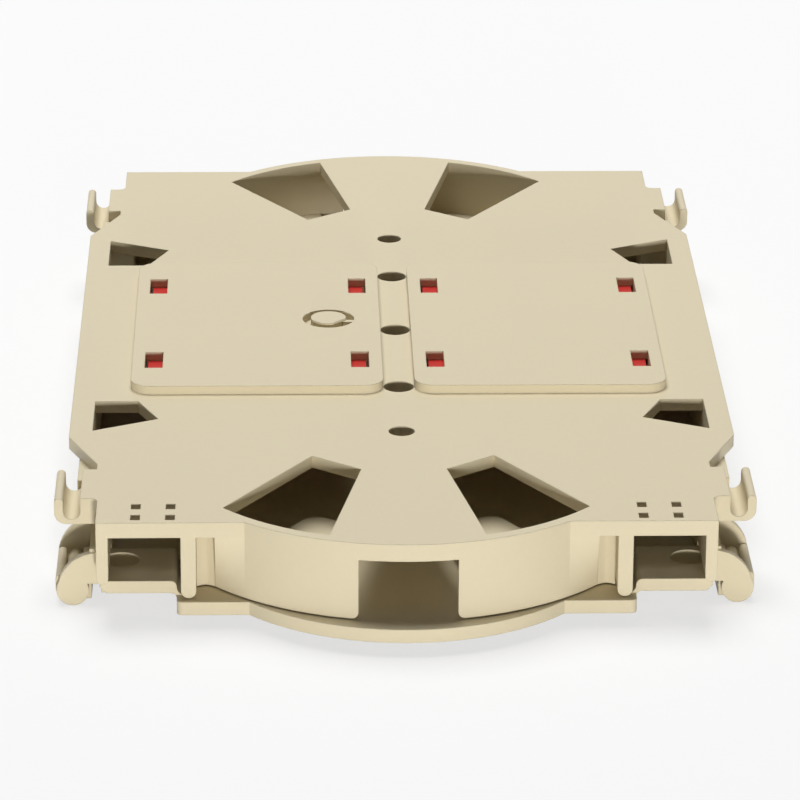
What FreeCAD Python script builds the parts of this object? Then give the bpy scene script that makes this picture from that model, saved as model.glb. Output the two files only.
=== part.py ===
import FreeCAD, Part
import math
import os

import Sketcher

# Fibre splice tray with a hinged cover, standing floor side up.
# X runs across the tray, Y along it towards the back, Z up; the tray floor's top face is Z = 0
# and the model is lifted at the end of each placement by rest_height, so the ears stand on Z = 0.

SIZES = {
    "floor_half_width": 63.5,
    "floor_half_length": 100.6,
    "floor_thickness": 2.4,
    "edge_band_depth": 3.0,
    "wall_depth": 15.0,
    "wall_thickness": 2.2,
    "side_overhang": 2.2,
    "side_skirt_thickness": 1.3,
    "shelf_thickness": 2.0,
    "side_wall_setback": 42.6,
    "chamfer_setback": 28.8,
    "notch_inset": 5.9,
    "corner_inset": 6.5,
    "arc_beyond_post": 5.0,
    "arc_centre_setback": 35.7,
    "end_gap_half_width": 9.1,
    "end_gap_top": 3.35,
    "end_gap_corner_radius": 1.3,
    "entry_width": 13.3,
    "inner_post_thickness": 2.8,
    "inner_post_length": 16.1,
    "groove_width": 3.4,
    "groove_depth": 6.2,
    "outer_post_thickness": 2.2,
    "outer_post_depth": 12.2,
    "entry_length": 18.0,
    "big_window_inner_x": 17.2,
    "big_window_inner_rise": 3.2,
    "big_window_near_x": 8.05,
    "big_window_near_rise": 9.95,
    "big_window_far_x": 14.3,
    "big_window_side_x": 33.8,
    "small_window_width": 8.3,
    "small_window_start_setback": 18.8,
    "small_window_corner_width": 12.4,
    "small_window_corner_setback": 9.3,
    "small_window_end_setback": 3.3,
    "tab_thickness": 3.1,
    "tab_corner_radius": 3.0,
    "centre_hole_radius": 2.95,
    "centre_hole_pitch": 31.9,
    "end_hole_radius": 2.5,
    "end_hole_offset": 55.6,
    "pad_inner": 3.05,
    "pad_outer": 52.4,
    "pad_half_length": 35.8,
    "pad_height": 1.8,
    "pad_skin": 1.85,
    "pad_corner_radius": 4.0,
    "pocket_inner": 5.65,
    "pocket_outer": 49.9,
    "pocket_half_length": 33.3,
    "pad_window_width": 3.55,
    "pad_window_start": 17.0,
    "pad_window_length": 8.75,
    "recess_radius": 5.2,
    "recess_depth": 1.5,
    "recess_from_centre": 13.45,
    "recess_offset": 1.85,
    "island_radius": 3.55,
    "island_rise": 0.3,
    "tie_slot_width": 1.75,
    "tie_slot_length": 2.5,
    "tie_slot_inset": 1.9,
    "tie_slot_pitch": 6.4,
    "tie_slot_setback": 7.8,
    "tie_slot_row_pitch": 5.2,
    "hook_reach": 4.8,
    "hook_radius": 1.6,
    "hook_arm": 1.65,
    "hook_depth": 2.6,
    "hook_floor": 0.9,
    "hook_corner_radius": 2.2,
    "hook_tip_radius": 0.78,
    "hook_length": 14.1,
    "hook_setback": 11.9,
    "pin_depth": 17.5,
    "pin_clearance": 0.1,
    "raised_web_inset": 0.25,
    "ear_thickness": 1.5,
    "ear_before_hook": 1.3,
    "ear_past_hook": 2.3,
    "ear_lobe_radius": 3.0,
    "front_ear_radius": 7.6,
    "rear_ear_radius": 8.2,
    "ear_arc_depth": 17.6,
    "ear_root_depth": 16.2,
    "ear_rail_width": 1.6,
    "ear_rail_height": 2.7,
    "ear_clearance": 0.6,
    "cover_gap": 0.3,
    "cover_thickness": 2.6,
    "cover_neck_inset": 0.8,
    "cover_front_margin": 1.2,
    "cover_crest_margin": 3.4,
    "cover_kink_inset": 0.85,
    "cover_corner_radius": 1.5,
    "step_clearance": 0.8,
    "step_inset": 0.5,
    "step_setback": 2.2,
    "step_corner_radius": 1.2,
    "step_root_radius": 1.7,
    "step_shell": 2.4,
    "lip_chamfer": 1.2,
    "mark_radius": 3.4,
    "mark_depth": 0.4,
    "mark_from_edge": 3.7,
    "mark_from_front": 10.2,
    "chip_side_gap": 0.55,
    "chip_press": 0.02,
    "chip_thickness": 3.2,
}

OVERSHOOT = 1.0

doc = FreeCAD.newDocument("splice_tray")
sheet = doc.addObject("Spreadsheet::Sheet", "sizes")
sheet.Label = "sizes"
for row, (alias, millimetres) in enumerate(SIZES.items(), start=1):
    sheet.set(f"A{row}", alias)
    sheet.set(f"B{row}", str(millimetres))
    sheet.setAlias(f"B{row}", alias)
doc.recompute()


class Size:
    """A length that carries both its present value and the formula that drives it."""

    def __init__(self, value, formula):
        self.value = value
        self.formula = formula

    @staticmethod
    def of(other):
        return other if isinstance(other, Size) else Size(float(other), f"{other}")

    def __add__(self, other):
        other = Size.of(other)
        return Size(self.value + other.value, f"({self.formula} + {other.formula})")

    def __sub__(self, other):
        other = Size.of(other)
        return Size(self.value - other.value, f"({self.formula} - {other.formula})")

    def __mul__(self, other):
        other = Size.of(other)
        return Size(self.value * other.value, f"({self.formula} * {other.formula})")

    def __truediv__(self, other):
        other = Size.of(other)
        return Size(self.value / other.value, f"({self.formula} / {other.formula})")

    def __radd__(self, other):
        return Size.of(other) + self

    def __rsub__(self, other):
        return Size.of(other) - self

    def __rmul__(self, other):
        return Size.of(other) * self

    def __neg__(self):
        return Size(-self.value, f"(-1 * {self.formula})")

    def root(self):
        return Size(math.sqrt(self.value), f"sqrt({self.formula})")


class Sizes:
    """Gives each named cell of the sheet as a Size."""

    def __getattr__(self, alias):
        return Size(SIZES[alias], f"sizes.{alias}")


s = Sizes()


def drive(obj, prop, size):
    """Binds one property to a size's formula, or sets a plain number."""
    obj.setExpression(prop, Size.of(size).formula)


def place(obj, x, y, z):
    drive(obj, "Placement.Base.x", x)
    drive(obj, "Placement.Base.y", y)
    drive(obj, "Placement.Base.z", z)


def box(label, x_range, y_range, z_range):
    obj = doc.addObject("Part::Box", label)
    obj.Label = label
    for prop, (low, high) in zip(("Length", "Width", "Height"), (x_range, y_range, z_range)):
        drive(obj, prop, Size.of(high) - low)
    place(obj, x_range[0], y_range[0], z_range[0])
    return obj


def post(label, radius, x, y, z_range):
    """An upright cylinder."""
    obj = doc.addObject("Part::Cylinder", label)
    obj.Label = label
    drive(obj, "Radius", radius)
    drive(obj, "Height", Size.of(z_range[1]) - z_range[0])
    place(obj, x, y, z_range[0])
    return obj


def rod(label, radius, x, y_range, z):
    """A cylinder lying along Y."""
    obj = doc.addObject("Part::Cylinder", label)
    obj.Label = label
    obj.Placement = FreeCAD.Placement(
        FreeCAD.Vector(0, 0, 0), FreeCAD.Rotation(FreeCAD.Vector(1, 0, 0), -90)
    )
    drive(obj, "Radius", radius)
    drive(obj, "Height", Size.of(y_range[1]) - y_range[0])
    place(obj, x, y_range[0], z)
    return obj


def combine(kind, label, shapes):
    obj = doc.addObject(kind, label)
    obj.Label = label
    obj.Shapes = shapes
    obj.Refine = True
    return obj


def fuse(label, *shapes):
    return combine("Part::MultiFuse", label, list(shapes))


def common(label, *shapes):
    return combine("Part::MultiCommon", label, list(shapes))


def cut(label, base, tool):
    obj = doc.addObject("Part::Cut", label)
    obj.Label = label
    obj.Base = base
    obj.Tool = tool
    obj.Refine = True
    return obj


def mirror(label, source, normal):
    obj = doc.addObject("Part::Mirroring", label)
    obj.Label = label
    obj.Source = source
    obj.Normal = FreeCAD.Vector(*normal)
    return obj


def both_ends(label, source):
    """The shape with its mirror image at the other end of the tray."""
    return fuse(label, source, mirror(label + "_front", source, (0, 1, 0)))


def both_sides(label, source):
    """The shape with its mirror image on the other side of the tray."""
    return fuse(label, source, mirror(label + "_left", source, (1, 0, 0)))


def four_corners(label, source):
    return both_sides(label, both_ends(label + "_pair", source))


def fix_coordinate(sketch, direction, axis, geometry, point, size):
    """Ties one coordinate of a sketch point to its formula; a zero is put on the axis itself."""
    if isinstance(size, Size):
        number = sketch.addConstraint(
            Sketcher.Constraint(direction, -1, 1, geometry, point, size.value)
        )
        drive(sketch, f"Constraints[{number}]", size)
    elif size == 0:
        sketch.addConstraint(Sketcher.Constraint("PointOnObject", geometry, point, axis))
    else:
        sketch.addConstraint(Sketcher.Constraint(direction, -1, 1, geometry, point, float(size)))


def draw_outline(sketch, corners):
    """Draws a closed outline, counter-clockwise; a corner's third value is its rounding radius."""
    count = len(corners)
    points = [
        FreeCAD.Vector(Size.of(corner[0]).value, Size.of(corner[1]).value, 0) for corner in corners
    ]
    arrive = list(points)
    leave = list(points)
    for index, corner in enumerate(corners):
        if len(corner) == 3:
            back = (points[index - 1] - points[index]).normalize()
            ahead = (points[(index + 1) % count] - points[index]).normalize()
            half_angle = back.getAngle(ahead) / 2
            reach = Size.of(corner[2]).value / math.tan(half_angle)
            arrive[index] = points[index] + back * reach
            leave[index] = points[index] + ahead * reach
    for index in range(count):
        sketch.addGeometry(Part.LineSegment(leave[index], arrive[(index + 1) % count]), False)
    for index, corner in enumerate(corners):
        before = (index - 1) % count
        if len(corner) == 2:
            sketch.addConstraint(Sketcher.Constraint("Coincident", before, 2, index, 1))
            fix_coordinate(sketch, "DistanceX", -2, index, 1, corner[0])
            fix_coordinate(sketch, "DistanceY", -1, index, 1, corner[1])
        else:
            round_corner(sketch, corner, before, index, points[index], arrive[index], leave[index])


def round_corner(sketch, corner, before, after, point, arrive, leave):
    """Rounds one corner between two lines whose sharp meeting point is held by a marker."""
    radius = Size.of(corner[2])
    back = (arrive - point).normalize()
    ahead = (leave - point).normalize()
    half_angle = back.getAngle(ahead) / 2
    centre = point + (back + ahead).normalize() * (radius.value / math.sin(half_angle))
    turns_left = back.cross(ahead).z < 0
    start, end = (arrive, leave) if turns_left else (leave, arrive)
    angles = [math.atan2(spot.y - centre.y, spot.x - centre.x) for spot in (start, end)]
    if angles[1] < angles[0]:
        angles[1] += 2 * math.pi
    circle = Part.Circle(centre, FreeCAD.Vector(0, 0, 1), radius.value)
    arc = sketch.addGeometry(Part.ArcOfCircle(circle, *angles), False)
    first, second = (1, 2) if turns_left else (2, 1)
    sketch.addConstraint(Sketcher.Constraint("Tangent", before, 2, arc, first))
    sketch.addConstraint(Sketcher.Constraint("Tangent", after, 1, arc, second))
    marker = sketch.addGeometry(Part.Point(point), True)
    sketch.addConstraint(Sketcher.Constraint("PointOnObject", marker, 1, before))
    sketch.addConstraint(Sketcher.Constraint("PointOnObject", marker, 1, after))
    fix_coordinate(sketch, "DistanceX", -2, marker, 1, corner[0])
    fix_coordinate(sketch, "DistanceY", -1, marker, 1, corner[1])
    number = sketch.addConstraint(Sketcher.Constraint("Radius", arc, radius.value))
    drive(sketch, f"Constraints[{number}]", radius)


def slab(label, role, corners, offset, length):
    """A body padded from one outline; offset and length run along the sketch plane's normal."""
    body = doc.addObject("PartDesign::Body", label)
    body.Label = label
    plane = next(item for item in body.Origin.OriginFeatures if item.Role == role)
    sketch = body.newObject("Sketcher::SketchObject", label + "_outline")
    sketch.Label = label + "_outline"
    sketch.AttachmentSupport = [(plane, "")]
    sketch.MapMode = "FlatFace"
    drive(sketch, "AttachmentOffset.Base.z", offset)
    draw_outline(sketch, corners)
    pad = body.newObject("PartDesign::Pad", label + "_pad")
    pad.Label = label + "_pad"
    pad.Profile = sketch
    drive(pad, "Length", length)
    sketch.Visibility = False
    body.Tip = pad
    return body


def flat_slab(label, corners, z_range):
    """A plan outline given thickness along Z."""
    return slab(label, "XY_Plane", corners, z_range[0], Size.of(z_range[1]) - z_range[0])


def cross_slab(label, corners, y_range):
    """A cross-section in X and Z given length along Y."""
    return slab(label, "XZ_Plane", corners, -Size.of(y_range[1]), Size.of(y_range[1]) - y_range[0])


def kink_of(radius, centre, line):
    """Half-width at which a circle centred on the middle line meets a straight front edge."""
    return (radius * radius - (line - centre) * (line - centre)).root()


def reach_at(radius, centre, half_width):
    """How far along Y a circle centred on the middle line reaches at a half-width."""
    return centre + (radius * radius - half_width * half_width).root()


# Levels below the floor's top face
floor_under = -s.floor_thickness
wall_foot = -s.wall_depth
pin_radius = s.hook_radius - s.pin_clearance

# Across the tray, from the floor's side edge inwards
side_wall_outer = s.floor_half_width - s.side_overhang
side_wall_inner = side_wall_outer - s.wall_thickness
notch_half_width = s.floor_half_width - s.notch_inset
corner_half_width = s.floor_half_width - s.corner_inset
outer_post_inner = corner_half_width - s.outer_post_thickness
inner_post_outer = outer_post_inner - s.entry_width
inner_post_inner = inner_post_outer - s.inner_post_thickness
groove_start = inner_post_inner - s.groove_width
hook_from_centre = corner_half_width + s.hook_reach
plate_edge_at_hook = hook_from_centre - s.hook_radius
hook_outer = hook_from_centre + s.hook_radius + s.hook_arm
tie_slot_inner = inner_post_outer + s.tie_slot_inset
small_window_inner_x = side_wall_inner - s.small_window_width
small_window_corner_x = side_wall_inner - s.small_window_corner_width

# Along the tray, from the floor's straight end edge back to the middle
side_wall_end = s.floor_half_length - s.side_wall_setback
chamfer_end = s.floor_half_length - s.chamfer_setback
entry_start = s.floor_half_length - s.entry_length
inner_post_start = s.floor_half_length - s.inner_post_length
groove_floor = s.floor_half_length - s.groove_depth
tie_slot_row = s.floor_half_length - s.tie_slot_setback
hook_end = s.floor_half_length - s.hook_setback
hook_start = hook_end - s.hook_length
ear_start = hook_start - s.ear_before_hook
ear_end = hook_end + s.ear_past_hook
small_window_start = side_wall_end - s.small_window_start_setback
small_window_corner_y = side_wall_end - s.small_window_corner_setback
small_window_end = side_wall_end - s.small_window_end_setback

# The curved end wall and the fan-shaped windows beside it
arc_radius = inner_post_outer + s.arc_beyond_post
arc_centre = s.floor_half_length - s.arc_centre_setback
wall_inner_radius = arc_radius - s.wall_thickness
crest = arc_centre + arc_radius
end_kink = kink_of(arc_radius, arc_centre, s.floor_half_length)
big_window_inner_y = arc_centre + s.big_window_inner_rise
big_window_near_y = arc_centre + s.big_window_near_rise


def make_floor():
    """The tray's flat floor: straight sides, chamfers, hook steps and a bulging end."""
    plan = flat_slab(
        "floor_plan",
        [
            (0, 0),
            (s.floor_half_width, 0),
            (s.floor_half_width, side_wall_end, 1.5),
            (notch_half_width, chamfer_end),
            (notch_half_width, hook_start - 0.2),
            (plate_edge_at_hook, hook_start - 0.2),
            (plate_edge_at_hook, hook_end, 0.8),
            (corner_half_width, hook_end, 1.5),
            (corner_half_width, s.floor_half_length, 0.8),
            (0, s.floor_half_length),
        ],
        (floor_under, 0),
    )
    bulge = common(
        "floor_bulge",
        post("bulge_disc", arc_radius, 0, arc_centre, (floor_under, 0)),
        box(
            "bulge_half",
            (0, end_kink),
            (s.floor_half_length - OVERSHOOT, crest + OVERSHOOT),
            (floor_under, 0),
        ),
    )
    return fuse("floor_quarter", plan, bulge)


def make_end_wall():
    """The curved end wall with its open middle, ending at the cable entry's inner post."""
    bore = post("end_bore", wall_inner_radius, 0, arc_centre, (wall_foot - 1, 1))
    ring = cut("end_ring", post("end_disc", arc_radius, 0, arc_centre, (wall_foot, 0)), bore)
    limit = cross_slab(
        "end_wall_limit",
        [
            (0, -s.end_gap_top),
            (s.end_gap_half_width, -s.end_gap_top),
            (s.end_gap_half_width, wall_foot, s.end_gap_corner_radius),
            (inner_post_outer, wall_foot),
            (inner_post_outer, 0),
            (0, 0),
        ],
        (reach_at(wall_inner_radius, arc_centre, inner_post_outer), crest + OVERSHOOT),
    )
    wall = common("end_wall_half", ring, limit)
    corner = fuse("end_corner", make_end_blend(), make_groove_web())
    return fuse("end_wall", wall, cut("end_corner_outside", corner, bore))


def make_end_blend():
    """Carries the straight front edge down to the curved wall's foot, as one ruled surface."""
    back = reach_at(wall_inner_radius, arc_centre, inner_post_outer)
    sections = []
    for label, x, foot_y in (
        ("end_blend_start", end_kink, s.floor_half_length),
        ("end_blend_end", groove_start, reach_at(arc_radius, arc_centre, groove_start)),
    ):
        sketch = doc.addObject("Sketcher::SketchObject", label)
        sketch.Label = label
        sketch.Placement = FreeCAD.Placement(
            FreeCAD.Vector(0, 0, 0), FreeCAD.Rotation(FreeCAD.Vector(1, 1, 1), 120)
        )
        drive(sketch, "Placement.Base.x", x)
        draw_outline(
            sketch,
            [
                (back, wall_foot),
                (foot_y, wall_foot),
                (s.floor_half_length, -s.edge_band_depth),
                (s.floor_half_length, 0),
                (back, 0),
            ],
        )
        sections.append(sketch)
    blend = doc.addObject("Part::Loft", "end_blend")
    blend.Label = "end_blend"
    blend.Sections = sections
    blend.Solid = True
    blend.Ruled = True
    return blend


def make_groove_web():
    """The hollow-faced web that ends the groove between the end wall and the inner post."""
    back = reach_at(wall_inner_radius, arc_centre, inner_post_outer)
    return flat_slab(
        "groove_web",
        [
            (groove_start, back),
            (inner_post_inner, back),
            (inner_post_inner, groove_floor + 0.6),
            (inner_post_inner - s.groove_width / 2, groove_floor - 0.2, 1.2),
            (groove_start, reach_at(arc_radius, arc_centre, groove_start)),
        ],
        (wall_foot, 0),
    )


def make_round_footed_wall(label, x_range, y_range, foot):
    """An upright wall along Y whose foot is rounded across its thickness."""
    radius = (Size.of(x_range[1]) - x_range[0]) / 2
    upright = box(label + "_upright", x_range, y_range, (foot + radius, 0))
    rounded = rod(label + "_foot", radius, x_range[0] + radius, y_range, foot + radius)
    return fuse(label, upright, rounded)


def make_corner_walls():
    """The walls beside one cable entry, the lintel over it and the chamfered side wall."""
    inner_post = make_round_footed_wall(
        "inner_post",
        (inner_post_inner, inner_post_outer),
        (inner_post_start, s.floor_half_length),
        wall_foot,
    )
    outer_post = make_round_footed_wall(
        "outer_post",
        (outer_post_inner, corner_half_width),
        (entry_start - 1, s.floor_half_length),
        -s.outer_post_depth,
    )
    deep_wall = box(
        "deep_wall",
        (outer_post_inner, corner_half_width),
        (chamfer_end, entry_start),
        (wall_foot, 0),
    )
    slanted_wall = flat_slab(
        "slanted_wall",
        [
            (side_wall_inner, side_wall_end - s.wall_thickness),
            (side_wall_outer, side_wall_end),
            (corner_half_width, chamfer_end + s.wall_thickness),
            (outer_post_inner, chamfer_end + s.wall_thickness),
            (outer_post_inner, chamfer_end - s.wall_thickness),
        ],
        (wall_foot, 0),
    )
    side_wall = box(
        "side_wall",
        (side_wall_inner, side_wall_outer),
        (0, side_wall_end),
        (wall_foot, 0),
    )
    skirt_end = ear_start + s.ear_thickness / 2
    side_skirt = box(
        "side_skirt",
        (side_wall_outer - s.side_skirt_thickness, side_wall_outer),
        (side_wall_end - s.wall_thickness, skirt_end),
        (wall_foot, floor_under),
    )
    shelf = flat_slab(
        "side_shelf",
        [
            (side_wall_outer, side_wall_end),
            (side_wall_outer, skirt_end),
            (corner_half_width - 0.5, skirt_end),
            (corner_half_width - 0.5, chamfer_end),
        ],
        (floor_under - s.shelf_thickness, floor_under),
    )
    lintel = box(
        "entry_lintel",
        (groove_start, outer_post_inner + 0.5),
        (s.floor_half_length - s.wall_thickness, s.floor_half_length),
        (-s.edge_band_depth, 0),
    )
    return fuse(
        "corner_walls",
        inner_post,
        outer_post,
        deep_wall,
        slanted_wall,
        side_wall,
        side_skirt,
        shelf,
        lintel,
    )


def big_window_corners(corner_radius=None):
    """Plan of one big window; its far side is left long and trimmed by the end wall's circle."""
    rounding = () if corner_radius is None else (corner_radius,)
    far_y = reach_at(wall_inner_radius, arc_centre, s.big_window_far_x)
    side_y = reach_at(wall_inner_radius, arc_centre, s.big_window_side_x)
    near_slope = (s.big_window_far_x - s.big_window_near_x) / (far_y - big_window_near_y)
    side_slope = (s.big_window_side_x - s.big_window_inner_x) / (side_y - big_window_inner_y)
    beyond = crest
    return [
        (s.big_window_near_x, big_window_near_y) + rounding,
        (s.big_window_inner_x, big_window_inner_y) + rounding,
        (s.big_window_inner_x + side_slope * (beyond - big_window_inner_y), beyond),
        (s.big_window_near_x + near_slope * (beyond - big_window_near_y), beyond),
    ]


def make_big_window():
    """The cutter for one fan-shaped window in the floor."""
    return common(
        "big_window",
        flat_slab("big_window_fan", big_window_corners(), (floor_under - 1, 1)),
        post(
            "big_window_arc", wall_inner_radius, 0, arc_centre, (floor_under - 1, 1)
        ),
    )


def make_big_tab():
    """The retention tab at the end wall's foot, as large as the window above it."""
    tab_range = (wall_foot, wall_foot + s.tab_thickness)
    return common(
        "big_tab",
        flat_slab("big_tab_fan", big_window_corners(s.tab_corner_radius), tab_range),
        post("big_tab_arc", wall_inner_radius + s.wall_thickness / 2, 0, arc_centre, tab_range),
    )


def small_window_corners(outer, corner_radius=None):
    rounding = () if corner_radius is None else (corner_radius,)
    return [
        (small_window_inner_x, small_window_start) + rounding,
        (outer, small_window_start),
        (outer, small_window_end),
        (small_window_corner_x, small_window_corner_y) + rounding,
    ]


def make_small_window():
    return flat_slab(
        "small_window", small_window_corners(side_wall_inner), (floor_under - 1, 1)
    )


def make_small_tab():
    return flat_slab(
        "small_tab",
        small_window_corners(side_wall_inner + s.wall_thickness / 2, s.tab_corner_radius / 2),
        (wall_foot, wall_foot + s.tab_thickness),
    )


def hook_corners(root, top, centre, foot, web_foot):
    """Cross-section of an open-topped hook whose root joins a plate at its inner side."""
    outline = [
        (hook_outer, foot, s.hook_corner_radius),
        (hook_outer, top, s.hook_tip_radius),
        (hook_from_centre + s.hook_radius, top, s.hook_tip_radius),
        (hook_from_centre + s.hook_radius, centre),
        (plate_edge_at_hook, centre),
        (plate_edge_at_hook, top),
        (root, top),
        (root, web_foot),
    ]
    return outline


def make_hook():
    """The open hook at the floor's edge that takes the pin of the tray above."""
    centre = -s.hook_depth
    foot = centre - s.hook_radius - s.hook_floor
    profile = cross_slab(
        "hook_profile",
        hook_corners(outer_post_inner, Size.of(0), centre, foot, foot),
        (hook_start, hook_end),
    )
    trough = rod(
        "hook_trough",
        s.hook_radius,
        hook_from_centre,
        (hook_start - 1, hook_end + 1),
        centre,
    )
    return cut("hook", profile, trough)


def make_ear(label, radius, y_range):
    """One upright ear: a quarter of a disc beside the wall with a round lobe about the pin."""
    arc = common(
        label + "_arc",
        rod(label + "_disc", radius, corner_half_width, y_range, -s.ear_arc_depth),
        box(
            label + "_quarter",
            (corner_half_width - 0.5, corner_half_width + radius + 1),
            y_range,
            (-s.ear_root_depth, -s.ear_arc_depth + radius + 1),
        ),
    )
    lobe = rod(label + "_lobe", s.ear_lobe_radius, hook_from_centre, y_range, -s.pin_depth)
    trim = box(
        label + "_trim",
        (corner_half_width - 1, corner_half_width),
        (ear_start - 1, ear_end + 1),
        (-s.pin_depth - s.ear_lobe_radius, -s.outer_post_depth),
    )
    return cut(label, fuse(label + "_plate", arc, lobe), trim)


def make_ears():
    """Two ears with the hinge pin between them and the rail that ties their roots."""
    rear_range = (ear_start, ear_start + s.ear_thickness)
    front_range = (ear_end - s.ear_thickness, ear_end)
    rear = make_ear("ear_near_middle", s.rear_ear_radius, rear_range)
    front = make_ear("ear_near_end", s.front_ear_radius, front_range)
    pin = rod(
        "hinge_pin",
        pin_radius,
        hook_from_centre,
        (ear_start + s.ear_thickness / 2, ear_end - s.ear_thickness / 2),
        -s.pin_depth,
    )
    rail = box(
        "ear_rail",
        (corner_half_width - 0.5, corner_half_width + s.ear_rail_width),
        (ear_start + s.ear_thickness / 2, ear_end - s.ear_thickness / 2),
        (-s.outer_post_depth, -s.outer_post_depth + s.ear_rail_height),
    )
    return fuse("ears", rear, front, pin, rail)


def make_tray_pad():
    """One raised pad over a splice chip, before its pocket and windows are cut."""
    return both_ends(
        "pad",
        flat_slab(
            "pad_half",
            [
                (s.pad_inner, 0),
                (s.pad_outer, 0),
                (s.pad_outer, s.pad_half_length, s.pad_corner_radius),
                (s.pad_inner, s.pad_half_length, s.pad_corner_radius),
            ],
            (floor_under, s.pad_height),
        ),
    )


def make_pad_cutters():
    """The pocket under one pad and the four windows that open into it."""
    ceiling = s.pad_height - s.pad_skin
    pocket = box(
        "pocket",
        (s.pocket_inner, s.pocket_outer),
        (-s.pocket_half_length, s.pocket_half_length),
        (floor_under - 1, ceiling),
    )
    windows = []
    starts = {
        "inner": s.pocket_inner,
        "outer": s.pocket_outer - s.pad_window_width,
    }
    for side, start in starts.items():
        window = box(
            "pad_window_" + side,
            (start, start + s.pad_window_width),
            (s.pad_window_start, s.pad_window_start + s.pad_window_length),
            (ceiling - 0.5, s.pad_height + 1),
        )
        windows.append(both_ends("pad_windows_" + side, window))
    return fuse("pad_cutters", pocket, *windows)


def make_floor_holes():
    """Five round holes along the middle line, the outer two smaller."""
    depth = (floor_under - 1, s.pad_height + 1)
    middle = post("hole_middle", s.centre_hole_radius, 0, 0, depth)
    beside = post("hole_beside", s.centre_hole_radius, 0, s.centre_hole_pitch, depth)
    outer = post("hole_outer", s.end_hole_radius, 0, s.end_hole_offset, depth)
    return fuse("floor_holes", middle, both_ends("holes_paired", fuse("holes", beside, outer)))


def make_tie_slots():
    """Two rows of two small slots over each front cable entry."""
    cutters = []
    for row in range(2):
        middle_y = -tie_slot_row - row * s.tie_slot_row_pitch
        for column in range(2):
            middle_x = tie_slot_inner + column * s.tie_slot_pitch
            cutters.append(
                box(
                    f"tie_slot_{row}_{column}",
                    (middle_x - s.tie_slot_width / 2, middle_x + s.tie_slot_width / 2),
                    (middle_y - s.tie_slot_length / 2, middle_y + s.tie_slot_length / 2),
                    (floor_under - 2, 1),
                )
            )
    return both_sides("tie_slots", fuse("tie_slots_right", *cutters))


def make_recess():
    """The ring cut round the small island on the left pad."""
    z_range = (s.pad_height - s.recess_depth, s.pad_height + 1)
    centre_x = -s.recess_from_centre
    well = post("recess_well", s.recess_radius, centre_x, s.recess_offset, z_range)
    return well


def make_island():
    """The island in the recess: a disc with one side cut straight, and the web that ties it."""
    centre_x = -s.recess_from_centre
    centre_y = s.recess_offset
    base = s.pad_height - s.recess_depth - 0.2
    disc = post(
        "island_disc",
        s.island_radius,
        centre_x,
        centre_y,
        (base, s.pad_height + s.island_rise),
    )
    chord = flat_slab(
        "island_chord",
        [
            (centre_x + s.island_radius * 0.27, centre_y - s.island_radius * 0.963),
            (centre_x + s.island_radius * 0.4, centre_y - s.island_radius * 1.5),
            (centre_x + s.island_radius * 1.5, centre_y - s.island_radius * 0.2),
            (centre_x + s.island_radius * 0.987, centre_y - s.island_radius * 0.158),
        ],
        (s.pad_height - s.recess_depth, s.pad_height + s.island_rise + 1),
    )
    web = box(
        "island_web",
        (centre_x + s.island_radius * 0.8, centre_x + s.recess_radius - 0.05),
        (centre_y - s.island_radius * 0.45, centre_y - s.island_radius * 0.1),
        (base, s.pad_height - 0.15),
    )
    return fuse("island", cut("island_cut", disc, chord), web)


def make_tray_body():
    """The moulded tray: one piece from the floor down to the hinge pins."""
    quarter = fuse(
        "body_quarter_solid",
        make_floor(),
        make_end_wall(),
        make_corner_walls(),
        make_hook(),
        make_ears(),
    )
    quarter = cut("body_quarter_windows", quarter, fuse("windows", make_big_window(), make_small_window()))
    quarter = fuse("body_quarter", quarter, make_big_tab(), make_small_tab())
    body = four_corners("body_blank", quarter)
    body = fuse("body_with_pads", body, both_sides("pads", make_tray_pad()))
    cutters = fuse(
        "body_cutters",
        both_sides("pad_openings", make_pad_cutters()),
        make_floor_holes(),
        make_tie_slots(),
        make_recess(),
    )
    return fuse("tray_body", cut("body_cut", body, cutters), make_island())


# The cover, under the walls' feet and round the posts and ears
cover_top = wall_foot - s.cover_gap
cover_under = cover_top - s.cover_thickness
cover_half_width = side_wall_outer
cover_neck_half_width = corner_half_width - s.cover_neck_inset
cover_side_end = ear_start - s.ear_clearance
cover_front = s.floor_half_length + s.cover_front_margin
cover_crest = crest + s.cover_crest_margin
cover_kink = end_kink - s.cover_kink_inset
step_top = -s.outer_post_depth - s.cover_gap
step_inner = inner_post_outer + s.step_clearance
step_outer = corner_half_width - s.step_inset
step_back = entry_start + s.cover_gap
step_front = s.floor_half_length - s.step_setback
lip_under = step_top - s.step_shell
mark_from_centre = step_outer - s.mark_from_edge
mark_offset = step_front - s.mark_from_front


def make_cover_sheet():
    """The cover's flat sheet with its bulging end."""
    sagitta = cover_crest - cover_front
    cover_arc_radius = (cover_kink * cover_kink + sagitta * sagitta) / (2 * sagitta)
    z_range = (cover_under, cover_top)
    plan = flat_slab(
        "cover_plan",
        [
            (0, 0),
            (cover_half_width, 0),
            (cover_half_width, cover_side_end, s.cover_corner_radius),
            (cover_neck_half_width, cover_side_end),
            (cover_neck_half_width, ear_end + s.ear_clearance),
            (step_inner, ear_end + s.ear_clearance),
            (step_inner, cover_front, s.step_corner_radius),
            (0, cover_front),
        ],
        z_range,
    )
    bulge = common(
        "cover_bulge",
        post("cover_disc", cover_arc_radius, 0, cover_crest - cover_arc_radius, z_range),
        box(
            "cover_bulge_half",
            (0, cover_kink),
            (cover_front - OVERSHOOT, cover_crest + OVERSHOOT),
            z_range,
        ),
    )
    return fuse("cover_sheet", plan, bulge)


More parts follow.
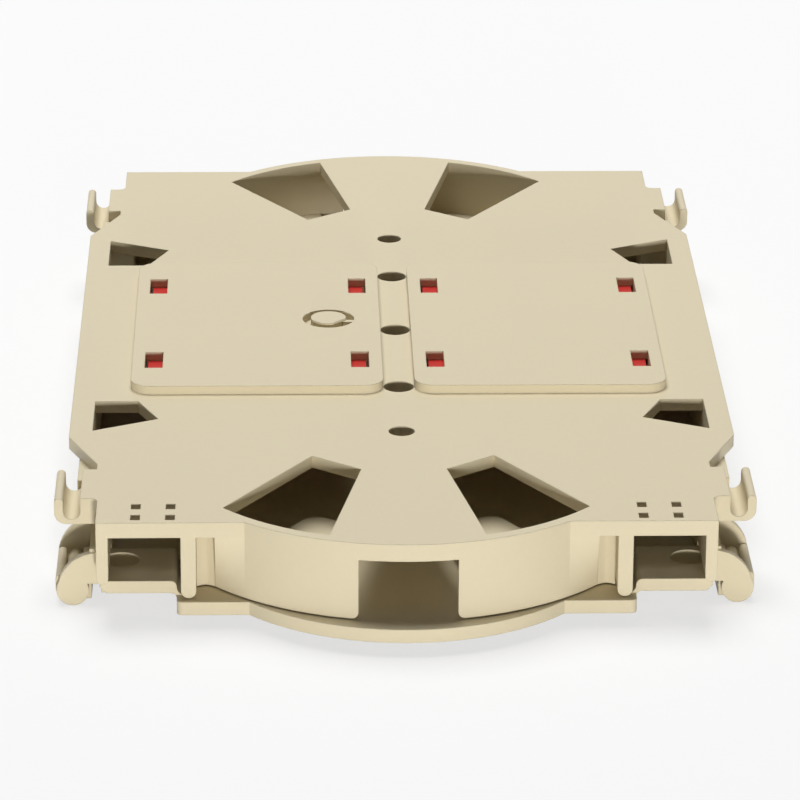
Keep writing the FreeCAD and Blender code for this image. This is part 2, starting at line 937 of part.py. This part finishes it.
def make_cover_step():
    """The raised corner under a cable entry, and the cutters that thin it from below."""
    raised = cross_slab(
        "step_solid",
        [
            (step_inner - 2 * s.step_root_radius, cover_under),
            (step_outer, cover_under),
            (step_outer, step_top, s.step_corner_radius),
            (step_inner, step_top, s.step_corner_radius),
            (step_inner, cover_top, s.step_root_radius - 0.2),
            (step_inner - 2 * s.step_root_radius, cover_top),
        ],
        (step_back, step_front),
    )
    hollow = box(
        "step_hollow",
        (step_inner + s.step_shell, step_outer - s.step_shell),
        (step_back + s.step_shell, ear_end + 1),
        (cover_under - 1, lip_under),
    )
    under_lip = cross_slab(
        "under_lip",
        [
            (step_inner, cover_under - 1),
            (step_outer + 1, cover_under - 1),
            (step_outer + 1, lip_under + s.lip_chamfer + 1),
            (step_outer - s.lip_chamfer, lip_under),
            (step_inner, lip_under, s.step_corner_radius),
        ],
        (ear_end, cover_front + 1),
    )
    return raised, fuse("step_cutters", hollow, under_lip)


def make_cover_hook():
    """The cover's hook, cradling a hinge pin between two ears."""
    y_range = (
        ear_start + s.ear_thickness + s.ear_clearance,
        ear_end - s.ear_thickness - s.ear_clearance,
    )
    centre = -s.pin_depth
    foot = centre - s.hook_radius - s.hook_floor
    profile = cross_slab(
        "cover_hook_profile",
        hook_corners(cover_neck_half_width - 1, cover_top, centre, foot, foot),
        y_range,
    )
    raised_web = box(
        "cover_hook_raised_web",
        (step_outer - 1, plate_edge_at_hook - s.raised_web_inset),
        (step_back, y_range[1]),
        (cover_top - 0.5, step_top),
    )
    relief_x = (cover_neck_half_width - 2, plate_edge_at_hook - 1.8)
    sheet_relief = box(
        "cover_hook_sheet_relief",
        relief_x,
        (y_range[0] - 1, step_back),
        (foot - 1, cover_under),
    )
    raised_relief = box(
        "cover_hook_raised_relief",
        relief_x,
        (step_back, y_range[1] + 1),
        (foot - 1, lip_under),
    )
    trough = rod(
        "cover_hook_trough",
        s.hook_radius,
        hook_from_centre,
        (y_range[0] - 1, y_range[1] + 1),
        centre,
    )
    cutters = fuse("cover_hook_cutters", sheet_relief, raised_relief, trough)
    return cut("cover_hook", fuse("cover_hook_solid", profile, raised_web), cutters)


def make_cover():
    """The cover that closes the tray's open side and hinges on the left pins."""
    raised, cutters = make_cover_step()
    quarter = fuse("cover_quarter_solid", make_cover_sheet(), raised)
    quarter = cut("cover_quarter_thinned", quarter, cutters)
    quarter = fuse("cover_quarter_hooked", quarter, make_cover_hook())
    mark = post(
        "cover_mark",
        s.mark_radius,
        mark_from_centre,
        mark_offset,
        (step_top - s.mark_depth, step_top + 1),
    )
    return four_corners("cover", cut("cover_quarter", quarter, mark))


def make_chip(label, side):
    """A splice chip pressed endways into the pocket under its pad."""
    inner = s.pocket_inner + s.chip_side_gap
    outer = s.pocket_outer - s.chip_side_gap
    half_length = s.pocket_half_length + s.chip_press
    top = s.pad_height - s.pad_skin
    x_range = (inner, outer) if side > 0 else (-outer, -inner)
    return box(label, x_range, (-half_length, half_length), (top - s.chip_thickness, top))


def stand_up(label, source):
    """The finished piece, lifted so that the ears stand on the ground plane."""
    lifted = doc.addObject("Part::Compound", label)
    lifted.Label = label
    lifted.Links = [source]
    drive(lifted, "Placement.Base.z", s.pin_depth + s.ear_lobe_radius)
    return lifted


pieces = {
    "tray_body": make_tray_body(),
    "cover": make_cover(),
    "splice_chip_left": make_chip("chip_left_block", -1),
    "splice_chip_right": make_chip("chip_right_block", 1),
}
standing = {name: stand_up(name + "_standing", piece) for name, piece in pieces.items()}
doc.recompute()

for obj in doc.Objects:
    states = set(obj.State) & {"Invalid", "Error"}
    assert not states, f"{obj.Label}: {states}"
    if hasattr(obj, "Shape") and obj.TypeId != "App::Line" and obj.TypeId != "App::Plane":
        assert not obj.Shape.isNull() and obj.Shape.isValid(), f"{obj.Label}: bad shape"

os.makedirs("parts", exist_ok=True)
for name, obj in standing.items():
    shape = obj.Shape
    assert len(shape.Solids) == 1, f"{name}: {len(shape.Solids)} solids"
    shape.Solids[0].exportStep(f"parts/{name}.step")
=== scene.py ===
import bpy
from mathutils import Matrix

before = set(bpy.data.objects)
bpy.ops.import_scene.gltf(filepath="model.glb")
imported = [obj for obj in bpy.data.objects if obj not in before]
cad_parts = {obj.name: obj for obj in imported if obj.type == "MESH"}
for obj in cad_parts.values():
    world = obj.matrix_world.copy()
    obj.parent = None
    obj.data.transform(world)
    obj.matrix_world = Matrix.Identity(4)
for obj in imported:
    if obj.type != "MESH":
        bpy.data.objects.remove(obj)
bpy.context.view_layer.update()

import math

import bmesh
import bpy
from bpy.props import FloatProperty, FloatVectorProperty, PointerProperty
from mathutils import Matrix, Vector

bl_info = {
    "name": "Fibre splice tray",
    "version": (1, 0, 0),
    "blender": (4, 5, 0),
    "location": "3D View > Sidebar > Splice tray",
    "description": "Finishes a moulded fibre splice tray and stages it on a pale table",
    "category": "Object",
}


# The point that the soft boxes are turned to

TRAY_MIDDLE = Vector((0.0, 0.0, 0.01))


# Sizes and colours that a user may change


class MouldedPlasticProperties(bpy.types.PropertyGroup):
    """Colour and surface of the almond plastic that the tray and its cover are moulded in."""

    tray_colour: FloatVectorProperty(
        name="Tray colour",
        description="Base colour of the moulded tray",
        subtype="COLOR",
        size=3,
        min=0.0,
        max=1.0,
        default=(0.668, 0.587, 0.407),
    )
    cover_colour: FloatVectorProperty(
        name="Cover colour",
        description="Base colour of the cover, close to the tray's",
        subtype="COLOR",
        size=3,
        min=0.0,
        max=1.0,
        default=(0.663, 0.582, 0.402),
    )
    grain_size: FloatProperty(
        name="Grain size",
        description="Size of one pit of the mould's fine texture",
        subtype="DISTANCE",
        min=0.00005,
        max=0.005,
        default=0.00045,
    )
    grain_depth: FloatProperty(
        name="Grain depth",
        description="How deep the mould's fine texture is",
        subtype="DISTANCE",
        min=0.0,
        max=0.001,
        default=0.000012,
    )
    edge_radius: FloatProperty(
        name="Edge radius",
        description="Radius of the small rounding on every moulded edge",
        subtype="DISTANCE",
        min=0.0,
        max=0.002,
        default=0.00035,
    )
    roughness: FloatProperty(
        name="Roughness",
        description="Mean roughness of the matte surface",
        min=0.0,
        max=1.0,
        default=0.5,
    )
    roughness_spread: FloatProperty(
        name="Roughness spread",
        description="How far the flow and the grain each raise or lower the roughness",
        min=0.0,
        max=0.5,
        default=0.08,
    )
    flow_scale: FloatProperty(
        name="Flow scale",
        description="Clouds in a metre that the flow of the plastic leaves in its colour",
        min=1.0,
        default=26.0,
    )
    flow_contrast: FloatProperty(
        name="Flow contrast",
        description="How much lighter or darker a cloud is than the mean colour",
        min=0.0,
        max=0.5,
        default=0.04,
    )
    fleck_scale: FloatProperty(
        name="Fleck scale",
        description="Fine flecks in a metre",
        min=1.0,
        default=1100.0,
    )
    fleck_share: FloatProperty(
        name="Fleck share",
        description="How strongly the flecks show",
        min=0.0,
        max=1.0,
        default=0.35,
    )
    fleck_shade: FloatProperty(
        name="Fleck shade",
        description="Brightness of a fleck beside the mean colour",
        min=0.0,
        max=1.0,
        default=0.9,
    )


class ChipPlasticProperties(bpy.types.PropertyGroup):
    """Colour and surface of the red splice chips."""

    colour: FloatVectorProperty(
        name="Chip colour",
        description="Base colour of the splice chips",
        subtype="COLOR",
        size=3,
        min=0.0,
        max=1.0,
        default=(0.53, 0.03, 0.024),
    )
    roughness: FloatProperty(
        name="Roughness",
        description="Mean roughness of the chips",
        min=0.0,
        max=1.0,
        default=0.4,
    )
    roughness_spread: FloatProperty(
        name="Roughness spread",
        description="How far the grain takes the roughness from its lowest to its highest",
        min=0.0,
        max=0.5,
        default=0.1,
    )
    grain_scale: FloatProperty(
        name="Grain scale",
        description="Pits of the chips' grain in a metre",
        min=1.0,
        default=1800.0,
    )
    grain_depth: FloatProperty(
        name="Grain depth",
        description="How deep the chips' grain is",
        subtype="DISTANCE",
        min=0.0,
        max=0.001,
        default=0.00001,
    )
    cloud_scale: FloatProperty(
        name="Cloud scale",
        description="Clouds in a metre of the chips' colour",
        min=1.0,
        default=60.0,
    )
    cloud_contrast: FloatProperty(
        name="Cloud contrast",
        description="How much lighter or darker a cloud is than the mean colour",
        min=0.0,
        max=0.5,
        default=0.07,
    )


class StageProperties(bpy.types.PropertyGroup):
    """The pale table, the soft studio light and the camera."""

    table_colour: FloatVectorProperty(
        name="Table colour",
        description="Colour of the table and the backdrop",
        subtype="COLOR",
        size=3,
        min=0.0,
        max=1.0,
        default=(0.88, 0.88, 0.88),
    )
    table_glow: FloatProperty(
        name="Table glow",
        description="Share of plain white that the camera sees in the table",
        min=0.0,
        max=1.0,
        default=0.69,
    )
    mottle_scale: FloatProperty(
        name="Mottle scale",
        description="Clouds in a metre of the table's paint",
        min=0.1,
        default=1.2,
    )
    mottle_contrast: FloatProperty(
        name="Mottle contrast",
        description="How much lighter or darker a cloud is than the table's colour",
        min=0.0,
        max=0.2,
        default=0.005,
    )
    table_width: FloatProperty(
        name="Table width",
        description="Side of the square table top",
        subtype="DISTANCE",
        unit="LENGTH",
        min=1.0,
        default=14.0,
    )
    room_light: FloatProperty(
        name="Room light",
        description="Strength of the even light from all round",
        min=0.0,
        default=0.05,
    )
    overhead_place: FloatVectorProperty(
        name="Overhead place",
        description="Where the soft box above and behind the tray hangs",
        subtype="TRANSLATION",
        unit="LENGTH",
        size=3,
        default=(-0.1, 0.38, 1.45),
    )
    overhead_size: FloatProperty(
        name="Overhead size",
        description="Side of the soft box above and behind the tray",
        subtype="DISTANCE",
        unit="LENGTH",
        min=0.01,
        default=0.9,
    )
    overhead_power: FloatProperty(
        name="Overhead power",
        description="Power of the soft box above and behind the tray",
        subtype="POWER",
        unit="POWER",
        min=0.0,
        default=22.7,
    )
    front_place: FloatVectorProperty(
        name="Front place",
        description="Where the low soft box in front of the tray stands",
        subtype="TRANSLATION",
        unit="LENGTH",
        size=3,
        default=(0.08, -1.8, 0.08),
    )
    front_size: FloatProperty(
        name="Front size",
        description="Side of the low soft box in front of the tray",
        subtype="DISTANCE",
        unit="LENGTH",
        min=0.01,
        default=0.13,
    )
    front_power: FloatProperty(
        name="Front power",
        description="Power of the low soft box in front of the tray",
        subtype="POWER",
        unit="POWER",
        min=0.0,
        default=22.0,
    )
    lens: FloatProperty(
        name="Lens",
        description="Focal length of the camera, in millimetres on a 36 mm frame",
        min=1.0,
        default=218.25,
    )
    camera_place: FloatVectorProperty(
        name="Camera place",
        description="Where the camera stands",
        subtype="TRANSLATION",
        unit="LENGTH",
        size=3,
        default=(-0.0223, -0.9182, 0.3619),
    )
    camera_elevation: FloatProperty(
        name="Camera elevation",
        description="How far the camera looks down below the horizon",
        subtype="ANGLE",
        default=math.radians(21.218),
    )
    camera_turn: FloatProperty(
        name="Camera turn",
        description="How far the camera is turned about the vertical from looking along the tray",
        subtype="ANGLE",
        default=math.radians(-1.458),
    )
    camera_roll: FloatProperty(
        name="Camera roll",
        description="How far the camera is rolled about its own line of sight",
        subtype="ANGLE",
        default=math.radians(0.302),
    )


# Shader helpers


class Wire:
    """A socket whose arithmetic adds Math nodes to its tree."""

    def __init__(self, socket):
        self.socket = socket
        self.tree = socket.id_data

    def into(self, place):
        self.tree.links.new(self.socket, place)

    def maths(self, operation, first, second):
        node = self.tree.nodes.new("ShaderNodeMath")
        node.operation = operation
        for place, value in zip(node.inputs, (first, second)):
            plug(place, value)
        return Wire(node.outputs[0])

    def __add__(self, other):
        return self.maths("ADD", self, other)

    def __mul__(self, other):
        return self.maths("MULTIPLY", self, other)

    __radd__ = __add__
    __rmul__ = __mul__


def plug(place, value):
    """Links a wire to an input, or sets a plain value on it."""
    if isinstance(value, Wire):
        value.into(place)
    else:
        place.default_value = value


class Finish:
    """One material, built node by node."""

    def __init__(self, name):
        self.material = bpy.data.materials.new(name)
        self.material.use_nodes = True
        self.tree = self.material.node_tree
        self.tree.nodes.clear()

    def node(self, kind, settings=None, inputs=None, output=0):
        """Adds a node: its settings first, then a value or a wire for each input."""
        made = self.tree.nodes.new(kind)
        for setting, value in (settings or {}).items():
            setattr(made, setting, value)
        for place, value in (inputs or {}).items():
            plug(made.inputs[place], value)
        return Wire(made.outputs[output]) if made.outputs else None

    def mix(self, factor, first, second):
        """Mixes two colours."""
        return self.node(
            "ShaderNodeMix", {"data_type": "RGBA"}, {0: factor, 6: first, 7: second}, output=2
        )

    def mix_shades(self, factor, colour, contrast):
        """Mixes a darker and a lighter shade of one colour."""
        return self.mix(factor, shade(colour, 1.0 - contrast), shade(colour, 1.0 + contrast))

    def noise(self, place, scale, detail, roughness=0.55):
        return self.node(
            "ShaderNodeTexNoise",
            inputs={"Vector": place, "Scale": scale, "Detail": detail, "Roughness": roughness},
        )

    def surface(self, shader):
        self.node("ShaderNodeOutputMaterial", inputs={"Surface": shader})
        return self.material


def rays_that_see_white(tree):
    """1 for rays from the camera and for those that glossy and clear surfaces send on."""
    path = tree.nodes.new("ShaderNodeLightPath")
    seen = Wire(path.outputs["Is Camera Ray"])
    for name in ("Is Glossy Ray", "Is Transmission Ray"):
        seen = seen.maths("MAXIMUM", seen, Wire(path.outputs[name]))
    return seen


def shade(colour, factor):
    """A colour made lighter or darker, with its alpha."""
    return (*(channel * factor for channel in colour), 1.0)


def moulded_plastic(name, colour, look):
    """Matte moulded plastic: fine grain, faint flow clouding and softly rounded edges."""
    finish = Finish(name)
    place = finish.node("ShaderNodeTexCoord", output="Object")
    grain = finish.noise(place, 1.0 / look.grain_size, 2.0)
    flow_place = finish.node(
        "ShaderNodeMapping", inputs={"Vector": place, "Scale": (1.0, 0.4, 1.0)}
    )
    flow = finish.noise(flow_place, look.flow_scale, 4.0)
    fleck = finish.noise(place, look.fleck_scale, 2.0)
    clouded = finish.mix_shades(flow, colour, look.flow_contrast)
    tinted = finish.mix(fleck * look.fleck_share, clouded, shade(colour, look.fleck_shade))
    edge = finish.node(
        "ShaderNodeBevel", {"samples": 6}, {"Radius": look.edge_radius}
    )
    bump = finish.node(
        "ShaderNodeBump", inputs={"Height": grain, "Distance": look.grain_depth, "Normal": edge}
    )
    spread = look.roughness_spread
    shader = finish.node(
        "ShaderNodeBsdfPrincipled",
        inputs={
            "Base Color": tinted,
            "Roughness": (flow + grain) * spread + (look.roughness - spread),
            "Specular IOR Level": 0.35,
            "Normal": bump,
        },
    )
    return finish.surface(shader)


def chip_plastic(name, look):
    """Smoother red plastic with a faint satin sheen."""
    finish = Finish(name)
    place = finish.node("ShaderNodeTexCoord", output="Object")
    grain = finish.noise(place, look.grain_scale, 2.0)
    cloud = finish.noise(place, look.cloud_scale, 3.0)
    tinted = finish.mix_shades(cloud, look.colour, look.cloud_contrast)
    bump = finish.node(
        "ShaderNodeBump", inputs={"Height": grain, "Distance": look.grain_depth}
    )
    spread = look.roughness_spread
    shader = finish.node(
        "ShaderNodeBsdfPrincipled",
        inputs={
            "Base Color": tinted,
            "Roughness": grain * spread + (look.roughness - spread / 2),
            "Specular IOR Level": 0.3,
            "Normal": bump,
        },
    )
    return finish.surface(shader)


def table_paint(name, look):
    """The table: pale and matte, with a faint unevenness."""
    finish = Finish(name)
    place = finish.node("ShaderNodeTexCoord", output="Object")
    mottle = finish.noise(place, look.mottle_scale, 3.0)
    colour = finish.mix_shades(mottle, look.table_colour, look.mottle_contrast)
    matte = finish.node("ShaderNodeBsdfDiffuse", inputs={"Color": colour, "Roughness": 0.0})
    white = finish.node("ShaderNodeEmission", inputs={"Strength": 1.0})
    seen = rays_that_see_white(finish.tree) * look.table_glow
    shader = finish.node("ShaderNodeMixShader", inputs={0: seen, 1: matte, 2: white})
    return finish.surface(shader)


def finish_node(name, material):
    """Gives one CAD node its material, leaving its mesh alone."""
    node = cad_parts[name]
    if not node.data.materials:
        node.data.materials.append(material)
    for index in range(len(node.data.materials)):
        node.data.materials[index] = material


# One operator for each piece or group of like pieces


class TRAY_OT_finish_body(bpy.types.Operator):
    """Gives the moulded tray its almond plastic"""

    bl_idname = "splice_tray.finish_body"
    bl_label = "Finish the tray"

    def execute(self, context):
        look = context.scene.moulded_plastic
        finish_node("tray_body", moulded_plastic("almond_tray", look.tray_colour, look))
        return {"FINISHED"}


class TRAY_OT_finish_cover(bpy.types.Operator):
    """Gives the hinged cover its almond plastic"""

    bl_idname = "splice_tray.finish_cover"
    bl_label = "Finish the cover"

    def execute(self, context):
        look = context.scene.moulded_plastic
        finish_node("cover", moulded_plastic("almond_cover", look.cover_colour, look))
        return {"FINISHED"}


class TRAY_OT_finish_chips(bpy.types.Operator):
    """Gives both splice chips their red plastic"""

    bl_idname = "splice_tray.finish_chips"
    bl_label = "Finish the chips"

    def execute(self, context):
        red = chip_plastic("red_chip", context.scene.chip_plastic)
        for name in ("splice_chip_left", "splice_chip_right"):
            finish_node(name, red)
        return {"FINISHED"}


class TRAY_OT_stage(bpy.types.Operator):
    """Builds the pale table, the soft boxes, the room light and the camera"""

    bl_idname = "splice_tray.stage"
    bl_label = "Build the stage"

    def execute(self, context):
        look = context.scene.tray_stage
        self.add_table(context, look)
        self.add_soft_box(
            context, "overhead_box", look.overhead_place, look.overhead_size, look.overhead_power
        )
        front = self.add_soft_box(
            context, "front_box", look.front_place, look.front_size, look.front_power
        )
        front.visible_glossy = False
        self.light_room(context, look)
        self.add_camera(context, look)
        context.scene.view_settings.view_transform = "Standard"
        return {"FINISHED"}

    def add_table(self, context, look):
        mesh = bpy.data.meshes.new("table")
        sketch = bmesh.new()
        bmesh.ops.create_grid(sketch, x_segments=4, y_segments=4, size=look.table_width / 2)
        sketch.to_mesh(mesh)
        sketch.free()
        table = bpy.data.objects.new("table", mesh)
        table.data.materials.append(table_paint("pale_table", look))
        context.collection.objects.link(table)

    def add_soft_box(self, context, name, place, size, power):
        light = bpy.data.lights.new(name, "AREA")
        light.shape = "SQUARE"
        light.size = size
        light.energy = power
        lamp = bpy.data.objects.new(name, light)
        lamp.location = place
        lamp.rotation_euler = (TRAY_MIDDLE - Vector(place)).to_track_quat("-Z", "Y").to_euler()
        context.collection.objects.link(lamp)
        return lamp

    def light_room(self, context, look):
        world = bpy.data.worlds.new("room")
        world.use_nodes = True
        tree = world.node_tree
        tree.nodes.clear()
        strength = rays_that_see_white(tree) * (1.0 - look.room_light) + look.room_light
        background = tree.nodes.new("ShaderNodeBackground")
        background.inputs["Color"].default_value = (1.0, 1.0, 1.0, 1.0)
        plug(background.inputs["Strength"], strength)
        output = tree.nodes.new("ShaderNodeOutputWorld")
        tree.links.new(background.outputs[0], output.inputs["Surface"])
        context.scene.world = world

    def add_camera(self, context, look):
        camera = bpy.data.objects.new("camera", bpy.data.cameras.new("camera"))
        camera.data.lens = look.lens
        camera.data.sensor_width = 36.0
        camera.data.clip_end = 100.0
        camera.matrix_world = (
            Matrix.Translation(look.camera_place)
            @ Matrix.Rotation(look.camera_turn, 4, "Z")
            @ Matrix.Rotation(math.pi / 2 - look.camera_elevation, 4, "X")
            @ Matrix.Rotation(look.camera_roll, 4, "Z")
        )
        context.collection.objects.link(camera)
        context.scene.camera = camera


class TRAY_PT_sidebar(bpy.types.Panel):
    """Lists the tray's pieces and their settings"""

    bl_label = "Splice tray"
    bl_idname = "TRAY_PT_sidebar"
    bl_space_type = "VIEW_3D"
    bl_region_type = "UI"
    bl_category = "Splice tray"

    def draw(self, context):
        layout = self.layout
        for group in PROPERTY_GROUPS:
            settings = getattr(context.scene, group)
            column = layout.column(align=True)
            for name in settings.__annotations__:
                column.prop(settings, name)
        for operator in OPERATORS:
            layout.operator(operator.bl_idname)


PROPERTY_GROUPS = {
    "moulded_plastic": MouldedPlasticProperties,
    "chip_plastic": ChipPlasticProperties,
    "tray_stage": StageProperties,
}
OPERATORS = (
    TRAY_OT_finish_body,
    TRAY_OT_finish_cover,
    TRAY_OT_finish_chips,
    TRAY_OT_stage,
)


def register():
    for group, kind in PROPERTY_GROUPS.items():
        bpy.utils.register_class(kind)
        setattr(bpy.types.Scene, group, PointerProperty(type=kind))
    for operator in OPERATORS:
        bpy.utils.register_class(operator)
    bpy.utils.register_class(TRAY_PT_sidebar)


def unregister():
    bpy.utils.unregister_class(TRAY_PT_sidebar)
    for operator in reversed(OPERATORS):
        bpy.utils.unregister_class(operator)
    for group, kind in reversed(PROPERTY_GROUPS.items()):
        delattr(bpy.types.Scene, group)
        bpy.utils.unregister_class(kind)


def main():
    register()
    bpy.ops.splice_tray.finish_body()
    bpy.ops.splice_tray.finish_cover()
    bpy.ops.splice_tray.finish_chips()
    bpy.ops.splice_tray.stage()


if __name__ == "__main__":
    main()
